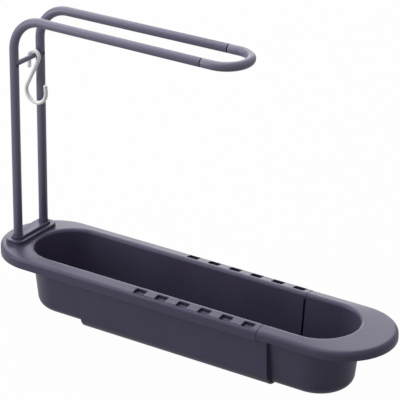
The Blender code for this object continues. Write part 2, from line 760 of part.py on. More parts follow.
def build_hook(parts, cutters, material, anchor):
    """Build the S-hook that hangs on the cross bar, its origin on the bar's axis."""
    mesh = rod("s_hook", hook_path(), HOOK_WIRE / 2, HOOK_RESOLUTION, cutters)
    hook = add_object("s_hook", mesh, parts, material)
    place(hook, (SOCKET_X, HOOK_FROM_MIDDLE, BAR_HEIGHT), anchor)
    return hook


def main():
    """Build the rack."""
    clear_scene()
    parts = make_collection("sink_drying_rack")
    cutters = make_collection("cutters")

    moulded = (0.052, 0.049, 0.068)
    coated = (0.060, 0.055, 0.077)
    anchor = bpy.data.objects.new("hanger_anchor", None)
    anchor.location = (SOCKET_X, 0.0, LIP_HEIGHT)
    parts.objects.link(anchor)

    build_left_basket(parts, cutters, make_material("Left basket PP", moulded, 0.55))
    build_right_basket(parts, cutters, make_material("Right basket PP", moulded, 0.55))
    build_foot(parts, cutters, make_material("Foot PP", moulded, 0.55), anchor)
    for side_name, side in SIDES.items():
        rail_material = make_material(side_name + " rail coat", coated, 0.45)
        build_rail(side_name + "_rail", side, parts, cutters, rail_material, anchor)
        plug_material = make_material(side_name + " plug nylon", (0.02, 0.02, 0.02), 0.5)
        build_plug(side_name + "_joint_plug", side, parts, plug_material, anchor)
        screw_material = make_material(side_name + " screw steel", (0.35, 0.35, 0.36), 0.35, 1.0)
        build_screw(side_name + "_bar_screw", side, parts, cutters, screw_material, anchor)
    build_end_loop(parts, cutters, make_material("Loop coat", coated, 0.45), anchor)
    build_cross_bar(parts, cutters, make_material("Bar coat", coated, 0.45), anchor)
    build_hook(parts, cutters, make_material("Hook white", (0.75, 0.75, 0.76), 0.35), anchor)


main()
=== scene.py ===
"""Sink drying rack: finished pieces, materials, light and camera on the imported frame.

The rack is two nesting basket halves of moulded polypropylene, a hanger of bent and
powder-coated steel tube that stands in a socket of the left half, and a white S-hook
on the hanger's cross bar. Lengths are metres, Z is up, and the rack stands on z = 0.
"""

import logging
import math
from collections.abc import Iterable, Sequence
from dataclasses import dataclass, field
from enum import Enum

import bmesh
import bpy
from bpy.types import Material, Mesh, Node, NodeSocket, NodeTree, Object
from mathutils import Euler, Matrix, Vector


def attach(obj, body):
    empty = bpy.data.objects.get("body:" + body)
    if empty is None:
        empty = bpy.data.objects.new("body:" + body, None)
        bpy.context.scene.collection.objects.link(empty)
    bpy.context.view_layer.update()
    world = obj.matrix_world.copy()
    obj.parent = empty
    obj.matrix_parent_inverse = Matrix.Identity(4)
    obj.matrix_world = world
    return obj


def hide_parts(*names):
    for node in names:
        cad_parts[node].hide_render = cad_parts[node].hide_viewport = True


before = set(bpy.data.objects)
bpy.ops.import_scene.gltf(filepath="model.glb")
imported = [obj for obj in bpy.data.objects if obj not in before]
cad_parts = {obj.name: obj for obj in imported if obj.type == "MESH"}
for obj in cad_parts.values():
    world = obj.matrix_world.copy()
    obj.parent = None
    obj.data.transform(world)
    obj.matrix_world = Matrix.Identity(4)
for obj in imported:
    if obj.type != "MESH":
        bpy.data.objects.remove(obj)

LOG = logging.getLogger("drying_rack")
QUARTER_TURN = math.pi / 2
MM_PER_M = 1000
WELD_DISTANCE = 0.00001
OVERRUN = 0.001  # how far a cutter reaches past what it cuts
SQUARE_EDGE = math.radians(50.0)  # the least angle of an edge that gets rounded
CAPSULE_STEPS = 28  # straight steps round each end of a slot
WHITE = (1.0, 1.0, 1.0, 1.0)

# Lays what was drawn up along Z down along X, with its outline in Y and Z.
LAID_ALONG_X = Matrix(((0, 0, 1, 0), (1, 0, 0, 0), (0, 1, 0, 0), (0, 0, 0, 1)))

Point2 = tuple[float, float]
Point3 = tuple[float, float, float]


class Side(Enum):
    """The rack's long sides, as the sign of Y."""

    NEAR = -1
    FAR = 1

    @property
    def label(self) -> str:
        """The side's name, as the pieces have it."""
        return self.name.lower()


class Body(Enum):
    """The rigid bodies that the pieces ride on."""

    LEFT = "left_half"
    RIGHT = "right_half"
    HANGER = "hanger"
    HOOK = "hook"


class Change(Enum):
    """What a tool does to a piece, as the Boolean's operation."""

    JOIN = "UNION"
    CUT = "DIFFERENCE"


def linear(hex_colour: str) -> tuple[float, float, float, float]:
    """Turn an sRGB hex colour into a linear one.

    Args:
        hex_colour: six hex digits, such as "4B485A".

    Returns:
        Red, green, blue and an alpha of 1, linear.
    """
    values = []
    for start in (0, 2, 4):
        share = int(hex_colour[start:start + 2], 16) / 255
        values.append(share / 12.92 if share <= 0.04045 else ((share + 0.055) / 1.055) ** 2.4)
    return (*values, 1.0)


def add_node(
    tree: NodeTree, kind: str, inputs: dict[str | int, object] | None = None,
    **settings: object,
) -> Node:
    """Add a node to a shader or geometry tree.

    Args:
        tree: the tree that gets the node.
        kind: the node's type name.
        inputs: for each input, by name or number, its value, the output to link, the
            node whose first live output to link, or a list of such nodes.
        settings: attributes of the node to set.

    Returns:
        The new node.
    """
    node = tree.nodes.new(kind)
    for name, value in settings.items():
        setattr(node, name, value)
    for key, given in (inputs or {}).items():
        for value in given if isinstance(given, list) else (given,):
            if isinstance(value, Node):
                value = next(output for output in value.outputs if output.enabled)
            if isinstance(value, NodeSocket):
                tree.links.new(value, node.inputs[key])
            else:
                node.inputs[key].default_value = value
    return node


def arc(centre: Point2, radius: float, start: float, end: float, steps: int) -> list[Point2]:
    """Return points along an arc in a plane, both ends included.

    Args:
        centre: the arc's centre.
        radius: its radius.
        start: the first angle, in radians.
        end: the last angle.
        steps: how many straight steps make the arc.

    Returns:
        The points in order.
    """
    points = []
    for step in range(steps + 1):
        angle = start + (end - start) * step / steps
        points.append((centre[0] + radius * math.cos(angle), centre[1] + radius * math.sin(angle)))
    return points


def capsule(x: float, half_span: float, radius: float) -> list[Point2]:
    """Return the outline of a slot along Y with round ends.

    Args:
        x: the slot's place along X.
        half_span: half the distance between the end centres.
        radius: the ends' radius.

    Returns:
        The outline, anticlockwise.
    """
    far = arc((x, half_span), radius, 0.0, math.pi, CAPSULE_STEPS)
    return far + arc((x, -half_span), radius, math.pi, 2 * math.pi, CAPSULE_STEPS)


def mesh_from(bm: bmesh.types.BMesh, name: str) -> Mesh:
    """Weld a bmesh, point its faces outwards, and turn it into a mesh.

    Args:
        bm: the bmesh, which is freed.
        name: the mesh's name.

    Returns:
        The mesh.
    """
    bmesh.ops.remove_doubles(bm, verts=bm.verts, dist=WELD_DISTANCE)
    bmesh.ops.recalc_face_normals(bm, faces=bm.faces)
    mesh = bpy.data.meshes.new(name)
    bm.to_mesh(mesh)
    bm.free()
    return mesh


def prism(name: str, outline: Sequence[Point2], low: float, high: float) -> Mesh:
    """Return an outline in X and Y drawn up between two heights.

    Args:
        name: the mesh's name.
        outline: the outline's corners.
        low: the lower height.
        high: the upper height.

    Returns:
        A closed mesh.
    """
    bm = bmesh.new()
    base = bm.faces.new([bm.verts.new((x, y, low)) for x, y in outline])
    drawn = bmesh.ops.extrude_face_region(bm, geom=[base])["geom"]
    moved = [item for item in drawn if isinstance(item, bmesh.types.BMVert)]
    bmesh.ops.translate(bm, verts=moved, vec=(0.0, 0.0, high - low))
    return mesh_from(bm, name)


def put(name: str, mesh: Mesh) -> Object:
    """Link a mesh to the scene as an object at the origin.

    Args:
        name: the object's name.
        mesh: its mesh.

    Returns:
        The object.
    """
    item = bpy.data.objects.new(name, mesh)
    bpy.context.scene.collection.objects.link(item)
    return item


def wire(name: str, points: Sequence[Point3]) -> Object:
    """Return an object that holds a line of corner points.

    Args:
        name: the object's name.
        points: the corners.

    Returns:
        The object.
    """
    mesh = bpy.data.meshes.new(name)
    mesh.from_pydata(points, [(i, i + 1) for i in range(len(points) - 1)], [])
    return put(name, mesh)


def combine(item: Object, tool: Object, change: Change) -> None:
    """Add an exact Boolean of a tool to an object.

    Args:
        item: the object that is changed.
        tool: the object that joins it or cuts it.
        change: which of the two.
    """
    tool.hide_render = True
    modifier = item.modifiers.new(tool.name, "BOOLEAN")
    modifier.operation = change.value
    modifier.solver = "EXACT"
    modifier.object = tool


def round_edges(item: Object, width: float, segments: int = 2) -> None:
    """Round an object's square edges.

    Args:
        item: the object.
        width: the rounding's width.
        segments: its segments.
    """
    modifier = item.modifiers.new("Edges", "BEVEL")
    modifier.width = width
    modifier.segments = segments
    modifier.limit_method = "ANGLE"
    modifier.angle_limit = SQUARE_EDGE
    modifier.use_clamp_overlap = False
    modifier.miter_outer = "MITER_ARC"


def set_plain(item: Object, tools: Iterable[Object] = ()) -> None:
    """Turn an object's modifiers into its plain mesh, and remove its tools.

    Args:
        item: the object.
        tools: cutters that nothing needs afterwards.
    """
    bpy.context.view_layer.update()
    evaluated = item.evaluated_get(bpy.context.evaluated_depsgraph_get())
    mesh = bpy.data.meshes.new_from_object(evaluated)
    mesh.name = item.name
    item.modifiers.clear()
    item.data = mesh
    for tool in tools:
        bpy.data.objects.remove(tool, do_unlink=True)


def dress(
    item: Object, material: Material, tools: Iterable[Object] = (),
    crease: float = 32.0,
) -> None:
    """Make a piece's mesh plain, and give it its material and smooth shading.

    Args:
        item: the piece.
        material: its finish.
        tools: cutters that nothing needs afterwards.
        crease: the least angle of an edge that stays sharp, in degrees.
    """
    set_plain(item, tools)
    item.data.materials.clear()
    item.data.materials.append(material)
    item.data.shade_smooth()
    item.data.set_sharp_from_angle(angle=math.radians(crease))


def hand_over(item: Object, body: Body, *nodes: str) -> None:
    """Let a piece ride on its body and stand for its nodes.

    Args:
        item: the piece.
        body: the body it moves with.
        nodes: the nodes that it stands for, whose pieces from the frame are hidden.
    """
    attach(item, body.value)
    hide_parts(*nodes)
    LOG.info("%s: %d faces on %s", item.name, len(item.data.polygons), body.value)


def new_material(name: str) -> tuple[Material, NodeTree]:
    """Return a new material with an empty node tree.

    Args:
        name: the material's name.

    Returns:
        The material and its tree.
    """
    material = bpy.data.materials.new(name)
    material.use_nodes = True
    material.node_tree.nodes.clear()
    return material, material.node_tree


def spread(value: Node, ends: Point2, span: Point2 = (0.3, 0.7)) -> dict[str, object]:
    """Return the Map Range inputs that turn a span of values into another one.

    Args:
        value: the node that gives the value.
        ends: the results at the two ends of the span.
        span: the span, which is by default where a noise mostly lies.

    Returns:
        The named inputs.
    """
    return {
        "Value": value, "From Min": span[0], "From Max": span[1],
        "To Min": ends[0], "To Max": ends[1],
    }


@dataclass(frozen=True)
class MouldedPolypropylene:
    """Injection-moulded polypropylene, coloured through, from a finely etched mould.

    The etched grain makes it satin: a broad soft sheen on the tops. Its square edges
    are painted a little paler, a painted highlight along each edge.
    """

    name: str = "moulded polypropylene slate"
    colour: str = "443F53"
    # painted highlight: square edges are mixed toward this paler colour
    edge_highlight_colour: str = "625D78"
    shine_colour: str = "E3E0FF"  # the pigment hazes the skin, so its sheen is a little blue
    ior: float = 1.49
    shine: float = 0.38
    gloss: Point2 = (0.34, 0.42)  # the roughness at its smoothest and dullest
    tones: Point2 = (0.94, 1.06)
    grain_mm: float = 0.7  # real etch is about 0.15 mm, drawn coarser to show
    grain_depth_mm: float = 0.012
    grain_detail: float = 3.0
    grain_harshness: float = 0.6
    grain_relief: float = 0.35
    grain_tones: Point2 = (0.93, 1.07)
    grain_span: Point2 = (0.35, 0.65)
    flow_mm: float = 46.0  # how far apart the melt's slow streaks lie
    edge_mm: float = 0.45
    edge_highlight_turn: float = 0.72  # the cosine at which the painted edge highlight is at full strength
    edge_highlight_share: float = 0.7
    edge_samples: int = 6

    def make(self) -> Material:
        """Return the material."""
        material, tree = new_material(self.name)
        place = add_node(tree, "ShaderNodeTexCoord").outputs["Object"]
        grain = add_node(tree, "ShaderNodeTexNoise", {
            "Vector": place, "Scale": MM_PER_M / self.grain_mm, "Detail": self.grain_detail,
            "Roughness": self.grain_harshness,
        })
        flow = add_node(tree, "ShaderNodeTexNoise", {
            "Vector": place, "Scale": MM_PER_M / self.flow_mm,
        })
        bump = add_node(tree, "ShaderNodeBump", {
            "Strength": self.grain_relief, "Distance": self.grain_depth_mm / MM_PER_M,
            "Height": grain,
        })
        reach = {"Radius": self.edge_mm / MM_PER_M}
        highlight_bevel = add_node(tree, "ShaderNodeBevel", reach, samples=self.edge_samples)
        soft_edge = add_node(
            tree, "ShaderNodeBevel", reach | {"Normal": bump}, samples=self.edge_samples,
        )
        face = add_node(tree, "ShaderNodeNewGeometry").outputs["Normal"]
        along = add_node(tree, "ShaderNodeVectorMath", {
            0: highlight_bevel, 1: face,
        }, operation="DOT_PRODUCT")
        # painted highlight mask: 0 on flat faces, rising where the rounded normal turns away at a
        # square edge
        edge = add_node(tree, "ShaderNodeMapRange", spread(
            along, (0.0, self.edge_highlight_share), (1.0, self.edge_highlight_turn),
        ))
        tone = add_node(tree, "ShaderNodeMapRange", spread(flow, self.tones))
        base = add_node(tree, "ShaderNodeVectorMath", {
            0: linear(self.colour)[:3], "Scale": tone,
        }, operation="SCALE")
        speck = add_node(tree, "ShaderNodeMapRange", spread(
            grain, self.grain_tones, self.grain_span,
        ))
        grained = add_node(tree, "ShaderNodeVectorMath", {
            0: base, "Scale": speck,
        }, operation="SCALE")
        # painted highlight: square edges are mixed toward the paler edge colour
        colour = add_node(tree, "ShaderNodeMix", {
            "Factor": edge, "A": grained, "B": linear(self.edge_highlight_colour),
        }, data_type="RGBA")
        shader = add_node(tree, "ShaderNodeBsdfPrincipled", {
            "Base Color": colour, "Normal": soft_edge, "IOR": self.ior,
            "Roughness": add_node(tree, "ShaderNodeMapRange", spread(flow, self.gloss)),
            "Specular IOR Level": self.shine, "Specular Tint": linear(self.shine_colour),
        })
        add_node(tree, "ShaderNodeOutputMaterial", {"Surface": shader})
        return material


@dataclass(frozen=True)
class PatternedFinish:
    """A skin whose relief, gloss and tone follow one fine even pattern.

    Where cloud_mm is given, the tone follows a wider pattern of that size.
    """

    name: str
    colour: str
    gloss: Point2
    tones: Point2
    pattern_mm: float
    depth_mm: float
    relief: float
    harshness: float = 0.5
    cloud_mm: float | None = None
    ior: float = 1.5
    shine: float = 0.5
    metallic: float = 0.0

    def make(self) -> Material:
        """Return the material."""
        material, tree = new_material(self.name)
        place = add_node(tree, "ShaderNodeTexCoord").outputs["Object"]
        pattern = add_node(tree, "ShaderNodeTexNoise", {
            "Vector": place, "Scale": MM_PER_M / self.pattern_mm, "Roughness": self.harshness,
        })
        cloud = pattern
        if self.cloud_mm:
            cloud = add_node(tree, "ShaderNodeTexNoise", {
                "Vector": place, "Scale": MM_PER_M / self.cloud_mm,
            })
        bump = add_node(tree, "ShaderNodeBump", {
            "Strength": self.relief, "Distance": self.depth_mm / MM_PER_M, "Height": pattern,
        })
        tone = add_node(tree, "ShaderNodeMapRange", spread(cloud, self.tones))
        base = add_node(tree, "ShaderNodeVectorMath", {
            0: linear(self.colour)[:3], "Scale": tone,
        }, operation="SCALE")
        shader = add_node(tree, "ShaderNodeBsdfPrincipled", {
            "Base Color": base, "Normal": bump, "IOR": self.ior, "Metallic": self.metallic,
            "Roughness": add_node(tree, "ShaderNodeMapRange", spread(pattern, self.gloss)),
            "Specular IOR Level": self.shine,
        })
        add_node(tree, "ShaderNodeOutputMaterial", {"Surface": shader})
        return material


@dataclass(frozen=True)
class PowderCoat(PatternedFinish):
    """Polyester powder coat baked on steel tube.

    The baked powder flows into a fine orange peel, which breaks up the long
    highlights of the tubes.
    """

    name: str = "powder-coated steel tube slate"
    colour: str = "625D75"
    gloss: Point2 = (0.39, 0.45)
    tones: Point2 = (0.96, 1.04)
    pattern_mm: float = 1.1  # real peel is about 0.8 mm across
    depth_mm: float = 0.004
    relief: float = 0.25
    harshness: float = 0.45
    cloud_mm: float | None = 30.0
    shine: float = 0.6


@dataclass(frozen=True)
class SatinPlastic(PatternedFinish):
    """Smooth moulded acetal or nylon, whose skin has a faint ripple from the mould.

    The ripple makes its highlights soft and a little uneven.
    """

    gloss: Point2 = (0.31, 0.37)
    tones: Point2 = (0.97, 1.02)
    pattern_mm: float = 2.4
    depth_mm: float = 0.010
    relief: float = 0.3
    ior: float = 1.48


@dataclass(frozen=True)
class TurnedSteel(PatternedFinish):
    """Zinc-plated steel screw, turned on a lathe.

    The tool's fine marks and the plating make it a dull grey metal, darkened further as
    a painted shade that stands for the dark hole the screw sits in.
    """

    name: str = "zinc-plated turned steel, darkened as hole shade"
    # painted shade: this grey is darkened to stand for the shade inside the screw's hole
    colour: str = "48484B"
    gloss: Point2 = (0.31, 0.44)
    tones: Point2 = (0.9, 1.05)
    pattern_mm: float = 0.25
    depth_mm: float = 0.006
    relief: float = 0.4
    metallic: float = 1.0


def new_tree(
    name: str, sockets: dict[str, str],
) -> tuple[NodeTree, dict[str, NodeSocket]]:
    """Return a geometry tree with a geometry input, its named inputs, and one output.

    Args:
        name: the tree's name.
        sockets: for each named input, the last part of its socket type.

    Returns:
        The tree, and what its inputs hold, by name.
    """
    tree = bpy.data.node_groups.new(name, "GeometryNodeTree")
    tree.interface.new_socket("Geometry", in_out="OUTPUT", socket_type="NodeSocketGeometry")
    for label, kind in {"Geometry": "Geometry", **sockets}.items():
        tree.interface.new_socket(label, in_out="INPUT", socket_type="NodeSocket" + kind)
    return tree, {socket.name: socket for socket in add_node(tree, "NodeGroupInput").outputs}


def end_tree(tree: NodeTree, made: Node, finish: NodeSocket) -> None:
    """End a tree in Realize Instances and Set Material.

    Args:
        tree: the tree.
        made: the node that has made its geometry.
        finish: the material's socket.
    """
    real = add_node(tree, "GeometryNodeRealizeInstances", {"Geometry": made})
    dressed = add_node(tree, "GeometryNodeSetMaterial", {"Geometry": real, "Material": finish})
    add_node(tree, "NodeGroupOutput", {"Geometry": dressed})


def grow(item: Object, tree: NodeTree, values: dict[str, object]) -> None:
    """Put a geometry tree on an object and set its named inputs.

    Args:
        item: the object.
        tree: the tree.
        values: for each named input, its value.
    """
    modifier = item.modifiers.new(tree.name, "NODES")
    modifier.node_group = tree
    for socket in tree.interface.items_tree:
        if socket.item_type == "SOCKET" and socket.in_out == "INPUT" and socket.name in values:
            modifier[socket.identifier] = values[socket.name]


def swept_tube_tree() -> NodeTree:
    """Return the tree that bends a line of corner points and sweeps a circle along it."""
    tree, given = new_tree("swept tube", {
        "Outer Radius": "Float", "Bend Radius": "Float", "Bend Steps": "Int", "Sides": "Int",
        "Closed Ends": "Bool", "Finish": "Material",
    })
    line = add_node(tree, "GeometryNodeMeshToCurve", {"Mesh": given["Geometry"]})
    bent = add_node(tree, "GeometryNodeFilletCurve", {
        "Curve": line, "Radius": given["Bend Radius"], "Count": given["Bend Steps"],
    }, mode="POLY")
    ring = add_node(tree, "GeometryNodeCurvePrimitiveCircle", {
        "Resolution": given["Sides"], "Radius": given["Outer Radius"],
    })
    swept = add_node(tree, "GeometryNodeCurveToMesh", {
        "Curve": bent, "Profile Curve": ring, "Fill Caps": given["Closed Ends"],
    })
    end_tree(tree, swept, given["Finish"])
    return tree


def perforation_tree() -> NodeTree:
    """Return the tree that cuts one or two rows of round-cornered holes."""
    tree, given = new_tree("row of openings", {
        "Length": "Float", "Width": "Float", "Corner": "Float", "Corner Steps": "Int",
        "Count": "Int", "Pitch": "Float", "First": "Float", "Out": "Float",
        "Both Sides": "Bool", "Low": "Float", "High": "Float", "Finish": "Material",
    })
    outline = add_node(tree, "GeometryNodeCurvePrimitiveQuadrilateral", {
        "Width": given["Length"], "Height": given["Width"],
    })
    rounded = add_node(tree, "GeometryNodeFilletCurve", {
        "Curve": outline, "Radius": given["Corner"], "Count": given["Corner Steps"],
    }, mode="POLY")
    filled = add_node(tree, "GeometryNodeFillCurve", {"Curve": rounded}, mode="NGONS")
    depth = add_node(tree, "ShaderNodeMath", {
        0: given["High"], 1: given["Low"],
    }, operation="SUBTRACT")
    upward = add_node(tree, "ShaderNodeCombineXYZ", {"Z": depth})
    drawn = add_node(tree, "GeometryNodeExtrudeMesh", {
        "Mesh": filled, "Offset": upward, "Individual": False,
    }, mode="FACES")
    under = add_node(tree, "GeometryNodeFlipFaces", {"Mesh": filled})
    block = add_node(tree, "GeometryNodeJoinGeometry", {"Geometry": [drawn, under]})
    plug = add_node(tree, "GeometryNodeMergeByDistance", {
        "Geometry": block, "Distance": WELD_DISTANCE,
    })
    start = add_node(tree, "ShaderNodeCombineXYZ", {
        "X": given["First"], "Y": given["Out"], "Z": given["Low"],
    })
    step = add_node(tree, "ShaderNodeCombineXYZ", {"X": given["Pitch"]})
    row = add_node(tree, "GeometryNodeMeshLine", {
        "Count": given["Count"], "Start Location": start, "Offset": step,
    }, mode="OFFSET")
    other = add_node(tree, "GeometryNodeTransform", {"Geometry": row, "Scale": (1.0, -1.0, 1.0)})
    chosen = add_node(tree, "GeometryNodeSwitch", {
        "Switch": given["Both Sides"], "True": other,
    }, input_type="GEOMETRY")
    rows = add_node(tree, "GeometryNodeJoinGeometry", {"Geometry": [row, chosen]})
    placed = add_node(tree, "GeometryNodeInstanceOnPoints", {"Points": rows, "Instance": plug})
    tools = add_node(tree, "GeometryNodeRealizeInstances", {"Geometry": placed})
    cut = add_node(tree, "GeometryNodeMeshBoolean", {
        "Mesh 1": given["Geometry"], "Mesh 2": tools,
    }, operation="DIFFERENCE", solver="EXACT")
    end_tree(tree, cut, given["Finish"])
    return tree


def pair_tree() -> NodeTree:
    """Return the tree that sets a piece, turned from Z to X, at each side of the hanger."""
    tree, given = new_tree("pair of screws", {
        "Place": "Vector", "Spacing": "Float", "Finish": "Material",
    })
    half = add_node(tree, "ShaderNodeMath", {0: given["Spacing"], 1: -0.5}, operation="MULTIPLY")
    aside = add_node(tree, "ShaderNodeCombineXYZ", {"Y": half})
    start = add_node(tree, "ShaderNodeVectorMath", {0: given["Place"], 1: aside}, operation="ADD")
    step = add_node(tree, "ShaderNodeCombineXYZ", {"Y": given["Spacing"]})
    spots = add_node(tree, "GeometryNodeMeshLine", {
        "Count": 2, "Start Location": start, "Offset": step,
    }, mode="OFFSET")
    placed = add_node(tree, "GeometryNodeInstanceOnPoints", {
        "Points": spots, "Instance": given["Geometry"], "Rotation": (0.0, QUARTER_TURN, 0.0),
    })
    end_tree(tree, placed, given["Finish"])
    return tree


@dataclass(frozen=True)
class RimSizes:
    """Sizes that both basket halves share."""

    opening_length: float = 0.311
    opening_width: float = 0.064
    side_rim: float = 0.0135
    end_rim: float = 0.0330
    rim_fall: float = 0.0016
    crest_radius: float = 0.0031
    crest_height: float = 0.0571
    wall: float = 0.0020
    floor_corner: float = 0.0075
    draft: float = math.radians(6.0)
    sleeve_draft: float = math.radians(3.0)
    slide_clearance: float = 0.0005
    seam: float = 0.0903
    seam_gap: float = 0.0003
    left_floor: float = 0.0045
    right_floor: float = 0.0032
    wall_setback: float = 0.0016
    window_pitch: float = 0.0210
    first_window: float = -0.0250
    slot_length: float = 0.0300
    slot_width: float = 0.0030
    slot_margin: float = 0.0080
    slot_roundness: float = 0.99
    slot_corner_steps: int = 6
    end_steps: int = 72
    fillet_steps: int = 8
    edge: float = 0.00035
    support_shares: Point2 = (0.10, 0.90)

    @property
    def half_opening(self) -> float:
        """Half the opening's width."""
        return self.opening_width / 2

    @property
    def half_rim(self) -> float:
        """Half the rim's outer width."""
        return self.half_opening + self.side_rim

    @property
    def opening_centre(self) -> float:
        """Where the opening's round end has its centre."""
        return self.opening_length / 2 - self.half_opening

    @property
    def rim_centre(self) -> float:
        """Where the rim's round end has its centre."""
        return self.opening_length / 2 + self.end_rim - self.half_rim

    @property
    def slope(self) -> float:
        """How far the rim's top falls outwards, as an angle."""
        return math.atan2(self.rim_fall, self.side_rim - self.crest_radius)

    @property
    def wall_top(self) -> float:
        """The height at which the inner wall meets the crest."""
        return self.crest_height - self.crest_radius

    def half_width_at(self, height: float, offset: float, draft: float) -> float:
        """Return half the width between the walls.

        Args:
            height: the height of the section.
            offset: how far the surface lies outside the inner wall.
            draft: the wall's draft.

        Returns:
            The half width.
        """
        fall = math.tan(draft) * (self.wall_top - height)
        return self.half_opening - fall + offset / math.cos(draft)

    def floor_arc(self, offset: float, draft: float, floor: float) -> list[Point2]:
        """Return the points round the corner from a wall to the floor.

        Args:
            offset: how far the surface lies outside the inner one.
            draft: the wall's draft.
            floor: the floor's height inside.

        Returns:
            Pairs of half width and height.
        """
        height = floor + self.floor_corner
        centre = (self.half_width_at(height, -self.floor_corner, draft), height)
        return arc(centre, self.floor_corner + offset, -draft, -QUARTER_TURN, self.fillet_steps)

    def rings(
        self, depth: float, skirt_drop: float, edge_radius: float, floor: float,
    ) -> list[Point3]:
        """Return the rings of one skin, from the skirt's foot over the rim to the floor.

        Two rings on the rim's flat top keep the shading flat there.

        Args:
            depth: how deep the skin lies in the wall: zero for the outer one.
            skirt_drop: how far the skirt's foot lies under the crest.
            edge_radius: the radius of the rim's outer edge.
            floor: the floor's height inside.

        Returns:
            Rings of half width, end centre and height.
        """
        turn = QUARTER_TURN - self.slope
        corner_height = self.crest_height - self.rim_fall
        rise = corner_height - edge_radius * math.tan(turn / 2)
        edge_centre = (self.half_rim - edge_radius, rise)
        crest_centre = (self.half_opening + self.crest_radius, self.wall_top)
        out = self.half_rim - depth
        outer = [(out, self.crest_height - skirt_drop)]
        if edge_radius > depth:
            outer += arc(edge_centre, edge_radius - depth, 0.0, turn, self.fillet_steps)
        else:
            fall = math.tan(self.slope) * depth - depth / math.cos(self.slope)
            outer.append((out, corner_height + fall))
        inner = arc(crest_centre, self.crest_radius - depth, turn, math.pi, self.fillet_steps)
        inner += self.floor_arc(depth, self.draft, floor)
        rings = [(across, self.rim_centre, height) for across, height in outer]
        crest = [(across, self.opening_centre, height) for across, height in inner]
        supports = [
            tuple(start + share * (end - start) for start, end in zip(rings[-1], crest[0]))
            for share in self.support_shares
        ]
        return rings + supports + crest

    def shell(
        self, name: str, side: int, open_end: float, skirt_drop: float, edge_radius: float,
        floor: float,
    ) -> Mesh:
        """Return one half's wall of even thickness, round at its end and open at the seam.

        Args:
            name: the mesh's name.
            side: -1 for the left half and 1 for the right one.
            open_end: where the seam cuts it.
            skirt_drop: how far the skirt's foot lies under the crest.
            edge_radius: the radius of the rim's outer edge.
            floor: the floor's height inside.

        Returns:
            A closed mesh.
        """
        bm = bmesh.new()
        skins = []
        for depth in (0.0, self.wall):
            rows = []
            for half_width, centre, height in self.rings(depth, skirt_drop, edge_radius, floor):
                bend = arc((centre, 0.0), half_width, QUARTER_TURN, -QUARTER_TURN, self.end_steps)
                path = [(open_end, half_width)]
                path += [(side * along, across) for along, across in bend]
                path.append((open_end, -half_width))
                rows.append([bm.verts.new((x, y, height)) for x, y in path])
            for outer, inner in zip(rows, rows[1:]):
                for index in range(len(outer) - 1):
                    bm.faces.new((outer[index], outer[index + 1], inner[index + 1], inner[index]))
            bm.faces.new(rows[-1])
            skins.append(rows)
        shown, hidden = skins
        top, under = shown[0], hidden[0]
        for index in range(len(top) - 1):
            bm.faces.new((top[index], under[index], under[index + 1], top[index + 1]))
        section = [row[0] for row in shown] + [row[-1] for row in reversed(shown)]
        section += [row[-1] for row in hidden] + [row[0] for row in reversed(hidden)]
        bm.faces.new(section)
        return mesh_from(bm, name)

    def slot_row(self, start: float, end: float, finish: Material) -> dict[str, object]:
        """Return the inputs for a row of drain slots between two ends.

        Args:
            start: the lower end along X.
            end: the upper end along X.
            finish: the material.

        Returns:
            Named inputs of the row of openings.
        """
        pitch = self.window_pitch / 2
        first = math.ceil((start + self.slot_margin - self.first_window) / pitch)
        last = math.floor((end - self.slot_margin - self.first_window) / pitch)
        return {
            "Length": self.slot_width, "Width": self.slot_length,
            "Corner": self.slot_width / 2 * self.slot_roundness,
            "Corner Steps": self.slot_corner_steps, "Count": last - first + 1, "Pitch": pitch,
            "First": self.first_window + pitch * first, "Out": 0.0, "Both Sides": False,
            "Low": -OVERRUN, "High": self.left_floor + OVERRUN, "Finish": finish,
        }


@dataclass
class BasketHalf:
    """What both halves of the basket have, and how each is handed over."""

    rim: RimSizes
    finish: Material
    openings: NodeTree
    tools: list[Object] = field(default_factory=list)

    def tool(
        self, name: str, outline: Sequence[Point2], low: float, high: float,
        turn: Matrix | None = None,
    ) -> Object:
        """Return a tool of one outline drawn along Z, and note it for its removal.

        Args:
            name: the tool's name.
            outline: its outline.
            low: where it starts.
            high: where it ends.
            turn: how it is turned after that, if it is.

        Returns:
            The tool.
        """
        mesh = prism(name, outline, low, high)
        if turn is not None:
            mesh.transform(turn)
        self.tools.append(put(name, mesh))
        return self.tools[-1]

    def complete(self, item: Object, body: Body, node: str) -> None:
        """Dress the half, let its large faces shade flat, and hand it over.

        Args:
            item: the half.
            body: the body it moves with.
            node: the node that it stands for.
        """
        dress(item, self.finish, self.tools)
        modifier = item.modifiers.new("Large faces", "WEIGHTED_NORMAL")
        modifier.keep_sharp = True
        set_plain(item)
        hand_over(item, body, node)


